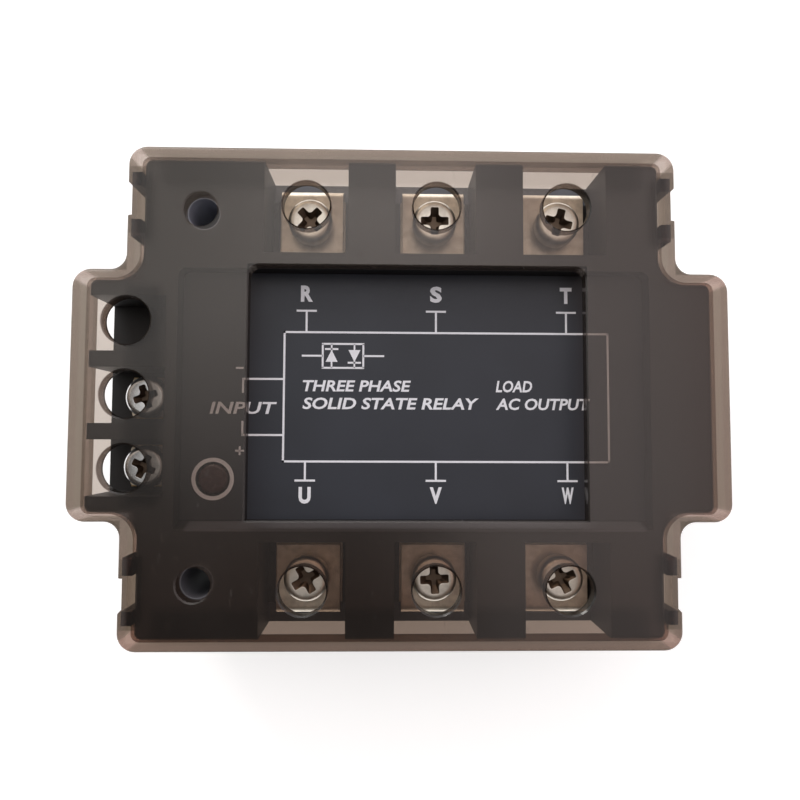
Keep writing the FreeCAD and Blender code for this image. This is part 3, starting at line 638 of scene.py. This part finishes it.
# %% [markdown]
# ## Printed marks
# The label is printed in white: a frame, the terminal letters and a few plain words. Each word
# is a text curve that is turned into a mesh, scaled to the width it has on the film, and laid
# on the label's face.

# %% Print the label
LABEL_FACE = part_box("label")[1].z
INK_THICK = 0.02 * MM


def add_bar(work, x0, x1, y0, y1):
    """A thin printed rectangle between two corners, in millimetres."""
    low = Vector((x0 * MM, y0 * MM, LABEL_FACE))
    size = Vector(((x1 - x0) * MM, (y1 - y0) * MM, INK_THICK))
    made = bmesh.ops.create_cube(work, size=1.0)
    bmesh.ops.scale(work, vec=size, verts=made["verts"])
    bmesh.ops.translate(work, vec=low + size / 2, verts=made["verts"])


def add_word(work, text, left, right, low, high, slant=0.0, weight=0.0):
    """Print text so that it fills a rectangle given in millimetres."""
    curve = bpy.data.curves.new("word", "FONT")
    curve.body = text
    curve.shear = slant
    curve.offset = weight
    curve.extrude = 0.01
    curve.resolution_u = 3
    writer = bpy.data.objects.new("word", curve)
    bpy.context.collection.objects.link(writer)
    bpy.context.view_layer.update()
    depsgraph = bpy.context.evaluated_depsgraph_get()
    mesh = bpy.data.meshes.new_from_object(writer.evaluated_get(depsgraph))
    bpy.data.objects.remove(writer)
    corners = [vertex.co.copy() for vertex in mesh.vertices]
    lowest = [min(corner[axis] for corner in corners) for axis in range(3)]
    spans = [max(corner[axis] for corner in corners) - lowest[axis] for axis in range(3)]
    wanted = ((right - left) * MM, (high - low) * MM, INK_THICK)
    scale = Vector([wanted[axis] / spans[axis] for axis in range(3)])
    start = len(work.verts)
    work.from_mesh(mesh)
    work.verts.ensure_lookup_table()
    fresh = work.verts[start:]
    bmesh.ops.translate(work, vec=-Vector(lowest), verts=fresh)
    bmesh.ops.scale(work, vec=scale, verts=fresh)
    bmesh.ops.translate(work, vec=Vector((left * MM, low * MM, LABEL_FACE)), verts=fresh)
    bpy.data.meshes.remove(mesh)


PHASE_X = (-15.2, 5.3, 26.1)
BOX_LEFT, BOX_RIGHT, BOX_LOW, BOX_HIGH = -18.8, 32.9, -10.3, 10.4
LINE = 0.32
BACK_BAR, FRONT_BAR = 13.5, -12.95
LETTER_HALF, LETTER_HEIGHT = 0.95, 2.6
INPUT_LEFT, INPUT_PLUS_Y, INPUT_MINUS_Y = -25.2, -6.03, 2.78
RING_CENTRE, RING_RADIUS, RING_STROKE = (-29.5, -12.9), 3.3, 0.62


def print_frame(work):
    """The box and the six terminal leads."""
    add_bar(work, BOX_LEFT, BOX_RIGHT, BOX_HIGH - LINE, BOX_HIGH)
    add_bar(work, BOX_LEFT, BOX_RIGHT, BOX_LOW, BOX_LOW + LINE)
    add_bar(work, BOX_LEFT, BOX_LEFT + LINE, BOX_LOW, BOX_HIGH)
    add_bar(work, BOX_RIGHT - LINE, BOX_RIGHT, BOX_LOW, BOX_HIGH)
    for x in PHASE_X:
        add_bar(work, x - 1.6, x + 1.6, BACK_BAR, BACK_BAR + LINE)
        add_bar(work, x - LINE / 2, x + LINE / 2, BOX_HIGH, BACK_BAR)
        add_bar(work, x - 1.6, x + 1.6, FRONT_BAR - LINE, FRONT_BAR)
        add_bar(work, x - LINE / 2, x + LINE / 2, FRONT_BAR, BOX_LOW)


def print_terminals(work):
    """R S T behind, U V W in front, and the marked input lines on the left."""
    for letter, x in zip("RST", PHASE_X):
        add_word(work, letter, x - LETTER_HALF, x + LETTER_HALF, 15.1, 15.1 + LETTER_HEIGHT, weight=0.045)
    for letter, x in zip("UVW", PHASE_X):
        add_word(work, letter, x - LETTER_HALF, x + LETTER_HALF, -16.7, -16.7 + LETTER_HEIGHT, weight=0.045)
    for y in (INPUT_PLUS_Y, INPUT_MINUS_Y):
        add_bar(work, INPUT_LEFT, BOX_LEFT, y - LINE / 2, y + LINE / 2)
        add_bar(work, INPUT_LEFT, INPUT_LEFT + LINE, y, y + (2.2 if y < 0 else -2.2))
    add_bar(work, -26.2, -25.0, 4.35, 4.65)
    add_bar(work, -26.1, -24.7, -8.65, -8.35)
    add_bar(work, -25.55, -25.25, -9.2, -7.8)
    add_word(work, "INPUT", -30.2, -19.7, -2.75, -0.85, slant=0.18, weight=0.02)


def print_words(work):
    """Plain words for what the relay is."""
    add_word(work, "THREE PHASE", -15.7, 1.35, 0.85, 2.65, slant=0.18, weight=0.025)
    add_word(work, "SOLID STATE RELAY", -15.7, 12.1, -1.95, -0.1, slant=0.18, weight=0.025)
    add_word(work, "LOAD", 14.8, 20.6, 0.85, 2.7, slant=0.18, weight=0.025)
    add_word(work, "AC OUTPUT", 14.8, 29.8, -1.95, -0.1, slant=0.18, weight=0.025)


def add_stroke(work, x0, y0, x1, y1, width):
    """A printed line of any direction between two points, in millimetres."""
    run = Vector((x1 - x0, y1 - y0, 0))
    made = bmesh.ops.create_cube(work, size=1.0)
    bmesh.ops.scale(work, vec=(run.length * MM, width * MM, INK_THICK), verts=made["verts"])
    turn = Matrix.Rotation(math.atan2(run.y, run.x), 3, "Z")
    bmesh.ops.rotate(work, cent=(0, 0, 0), matrix=turn, verts=made["verts"])
    middle = Vector(((x0 + x1) / 2 * MM, (y0 + y1) / 2 * MM, LABEL_FACE + INK_THICK / 2))
    bmesh.ops.translate(work, vec=middle, verts=made["verts"])


def add_triangle(work, x, y, size, up):
    """A printed triangle, the middle of the usual symbol for a one-way valve."""
    base, tip = (y - size / 2, y + size / 2) if up else (y + size / 2, y - size / 2)
    corners = [work.verts.new(Vector((cx * MM, cy * MM, LABEL_FACE + INK_THICK)))
               for cx, cy in ((x - size / 2, base), (x + size / 2, base), (x, tip))]
    work.faces.new(corners)


SYMBOL_LEFT, SYMBOL_RIGHT, SYMBOL_LOW, SYMBOL_HIGH = -12.6, -6.2, 4.6, 8.4
SYMBOL_LINE, SYMBOL_THIN = 0.3, 0.26
VALVES = ((-11.2, True), (-7.6, False))
VALVE_SIZE, VALVE_BAR_HALF, VALVE_BAR_SHIFT = 1.9, 1.05, 1.08
LEAD_LENGTH = 3.3


def print_symbols(work):
    """The plain drawing of a switch for alternating current: two one-way valves, opposite ways round."""
    middle = (SYMBOL_LOW + SYMBOL_HIGH) / 2
    add_stroke(work, SYMBOL_LEFT - LEAD_LENGTH, middle, SYMBOL_LEFT, middle, SYMBOL_LINE)
    add_stroke(work, SYMBOL_RIGHT, middle, SYMBOL_RIGHT + LEAD_LENGTH, middle, SYMBOL_LINE)
    for x, up in VALVES:
        add_triangle(work, x, middle, VALVE_SIZE, up)
        bar_y = middle + (VALVE_BAR_SHIFT if up else -VALVE_BAR_SHIFT)
        add_stroke(work, x - VALVE_BAR_HALF, bar_y, x + VALVE_BAR_HALF, bar_y, SYMBOL_LINE)
    add_stroke(work, SYMBOL_LEFT, SYMBOL_HIGH, SYMBOL_LEFT, SYMBOL_LOW, SYMBOL_LINE)
    add_stroke(work, SYMBOL_RIGHT, SYMBOL_HIGH, SYMBOL_RIGHT, SYMBOL_LOW, SYMBOL_LINE)
    for y in (SYMBOL_HIGH, SYMBOL_LOW):
        add_stroke(work, SYMBOL_LEFT - SYMBOL_LINE / 2, y, SYMBOL_RIGHT + SYMBOL_LINE / 2, y, SYMBOL_LINE)
    for x, _ in VALVES:
        add_stroke(work, x, SYMBOL_HIGH, x, SYMBOL_LOW, SYMBOL_THIN)


def print_ring(work):
    """The ring round the lamp: a flat disc whose middle is inset and taken out."""
    made = bmesh.ops.create_circle(work, cap_ends=True, segments=64, radius=RING_RADIUS * MM)
    centre = Vector((RING_CENTRE[0] * MM, RING_CENTRE[1] * MM, LABEL_FACE + INK_THICK))
    bmesh.ops.translate(work, vec=centre, verts=made["verts"])
    disc = list(made["verts"][0].link_faces)
    bmesh.ops.inset_region(work, faces=disc, thickness=RING_STROKE * MM,
                           use_even_offset=True, use_boundary=True)
    bmesh.ops.delete(work, geom=disc, context="FACES_ONLY")


def print_label():
    work = bmesh.new()
    print_frame(work)
    print_terminals(work)
    print_words(work)
    print_symbols(work)
    print_ring(work)
    return piece_from(work, "label_print", INK, "relay_body", "label")


label_print = print_label()
print("label print has", len(label_print.data.polygons), "faces")

# %% [markdown]
# ## Screws
# Every terminal has a pan head screw with a cross recess. The head and shank are one outline
# spun round the screw's axis, with shallow ridges for the thread. The recess is a separate
# tapered cross whose inner corners are rounded, taken out of the head with a Boolean modifier.
# The cutter carries its own darker finish, a painted shade, so the walls of the recess keep it.

# %% Build the screws
SCREW_SIZES = {
    "load": {"head": 3.5, "height": 2.7, "crown": 0.9, "shank": 1.95,
             "length": 10.0, "cross": 4.8, "blade": 1.4},
    "control": {"head": 3.35, "height": 2.3, "crown": 0.8, "shank": 1.70,
                "length": 8.0, "cross": 4.2, "blade": 1.2},
}
LOAD_TURN = {"r": 45.0, "s": 0.0, "t": -15.0, "u": 30.0, "v": 3.0, "w": 25.0}
CONTROL_TURN = {"minus": 20.0, "plus": 65.0}
THREAD_PITCH = 0.7
THREAD_DEPTH = 0.28
RECESS_SHARE = 0.66
SPIN_STEPS = 48


def screw_outline(size):
    """Radius and height of the outline, from the middle of the head's top down to the tip, head top at 0."""
    crown_steps = 6
    points = [(0.0, 0.0), (size["head"] - size["crown"] - 0.1, 0.0)]
    for step in range(1, crown_steps + 1):
        turn = math.radians(90.0 * step / crown_steps)
        inward, down = size["crown"] * (1 - math.sin(turn)), size["crown"] * (1 - math.cos(turn))
        points.append((size["head"] - inward, -down))
    points += [(size["head"], -size["height"] + 0.12), (size["head"] - 0.12, -size["height"])]
    points.append((size["shank"], -size["height"]))
    bottom = -size["height"] - size["length"]
    z = -size["height"] - 1.6
    while z > bottom + 1.2:
        points += [(size["shank"], z), (size["shank"] - THREAD_DEPTH, z - THREAD_PITCH / 2)]
        z -= THREAD_PITCH
    points += [(size["shank"] - 0.1, bottom + 0.5), (size["shank"] - 0.5, bottom), (0.0, bottom)]
    return points


def cross_cutter(size):
    """A cross-shaped plug, wide at the top and narrow at the bottom, with rounded corners."""
    arm, half = size["cross"] / 2, size["blade"] / 2
    quarter = [(arm, -half), (arm, half), (half, half)]
    corners = []
    for turn in range(4):
        spin = Matrix.Rotation(math.radians(90.0 * turn), 2)
        corners += [spin @ Vector(corner) for corner in quarter]
    work = bmesh.new()
    ring = [work.verts.new((corner.x * MM, corner.y * MM, 0.3 * MM)) for corner in corners]
    work.faces.new(ring)
    inner = [vert for vert in ring if vert.co.xy.length < size["blade"] * MM]
    outer = [vert for vert in ring if vert not in inner]
    options = {"offset_type": "OFFSET", "affect": "VERTICES", "profile": 0.5, "material": -1}
    bmesh.ops.bevel(work, geom=inner, offset=0.6 * MM, segments=5, **options)
    bmesh.ops.bevel(work, geom=outer, offset=0.22 * MM, segments=2, **options)
    made = bmesh.ops.extrude_face_region(work, geom=work.faces[:])
    lower = [part for part in made["geom"] if isinstance(part, bmesh.types.BMVert)]
    depth = (size["height"] * RECESS_SHARE + 0.3) * MM
    bmesh.ops.translate(work, vec=(0, 0, -depth), verts=lower)
    bmesh.ops.scale(work, vec=(0.52, 0.52, 1.0), verts=lower)
    bmesh.ops.recalc_face_normals(work, faces=work.faces)
    for face in work.faces:
        face.material_index = 1
    return work


def loose_object(work, name, finishes):
    mesh = bpy.data.meshes.new(name)
    work.to_mesh(mesh)
    work.free()
    for finish in finishes:
        mesh.materials.append(finish)
    made = bpy.data.objects.new(name, mesh)
    bpy.context.collection.objects.link(made)
    return made


def screw_mesh(size, finishes):
    """One screw at the origin: head top at height 0, cross along X and Y."""
    work = bmesh.new()
    chain = [work.verts.new((radius * MM, 0, height * MM)) for radius, height in screw_outline(size)]
    edges = [work.edges.new(pair) for pair in zip(chain, chain[1:])]
    bmesh.ops.spin(work, geom=chain + edges, cent=(0, 0, 0), axis=(0, 0, 1), angle=2 * math.pi,
                   steps=SPIN_STEPS, use_merge=True)
    bmesh.ops.remove_doubles(work, verts=work.verts, dist=1e-7)
    bmesh.ops.recalc_face_normals(work, faces=work.faces)
    blank = loose_object(work, "screw_blank", finishes)
    cutter = loose_object(cross_cutter(size), "cross_cutter", finishes)
    cut = blank.modifiers.new("recess", "BOOLEAN")
    cut.operation = "DIFFERENCE"
    cut.solver = "EXACT"
    cut.object = cutter
    bpy.context.view_layer.update()
    depsgraph = bpy.context.evaluated_depsgraph_get()
    mesh = bpy.data.meshes.new_from_object(blank.evaluated_get(depsgraph))
    for helper in (blank, cutter):
        bpy.data.objects.remove(helper)
    return mesh


def place_screw(name, mesh, turn, finishes, slot_name):
    """Put a copy of a screw where its CAD part is."""
    low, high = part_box(name)
    work = bmesh.new()
    work.from_mesh(mesh)
    bmesh.ops.remove_doubles(work, verts=work.verts, dist=1e-7)
    turned = Matrix.Rotation(math.radians(turn), 3, "Z")
    bmesh.ops.rotate(work, cent=(0, 0, 0), matrix=turned, verts=work.verts)
    middle = Vector(((low[0] + high[0]) / 2, (low[1] + high[1]) / 2, high[2]))
    bmesh.ops.translate(work, vec=middle, verts=work.verts)
    piece = piece_from(work, name + "_detail", finishes, name + "_set", slot_name, name)
    for face in piece.data.polygons:
        face.use_smooth = abs(face.normal.z) < 0.999
    return piece


load_finishes = (SCREW_NICKEL, RECESS_SHADE_METAL)
control_finishes = (SCREW_ZINC, RECESS_SHADE_METAL)
load_mesh = screw_mesh(SCREW_SIZES["load"], load_finishes)
control_mesh = screw_mesh(SCREW_SIZES["control"], control_finishes)
for letter, turn in LOAD_TURN.items():
    place_screw("screw_" + letter, load_mesh, turn, load_finishes, "nickel")
for sign, turn in CONTROL_TURN.items():
    place_screw("screw_" + sign, control_mesh, turn, control_finishes, "bright_steel")
print("a load screw has", len(load_mesh.polygons), "faces")

# %% [markdown]
# ## Finish
# The floor is only a stage. The box of the frame and the box of the finished model are
# compared.

# %% Floor and box comparison
FLOOR_SIZE = 3.0

floor_mesh = bmesh.new()
bmesh.ops.create_grid(floor_mesh, x_segments=1, y_segments=1, size=FLOOR_SIZE / 2)
floor_data = bpy.data.meshes.new("bench")
floor_mesh.to_mesh(floor_data)
floor_mesh.free()
floor = bpy.data.objects.new("bench", floor_data)
bpy.context.collection.objects.link(floor)
floor_data.materials.append(plain("bench_white", (0.86, 0.86, 0.86), 0.7, 0.01,
                                  emission_color=(1.0, 1.0, 1.0, 1.0), emission_strength=0.56))
floor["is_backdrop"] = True

BOX_MATCH = 0.01 * MM

model_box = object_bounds()
gap = max((Vector(a) - Vector(b)).length for a, b in zip(cad_box, model_box))
print("boxes differ by", round(gap / MM, 4), "mm; they match:", gap < BOX_MATCH)
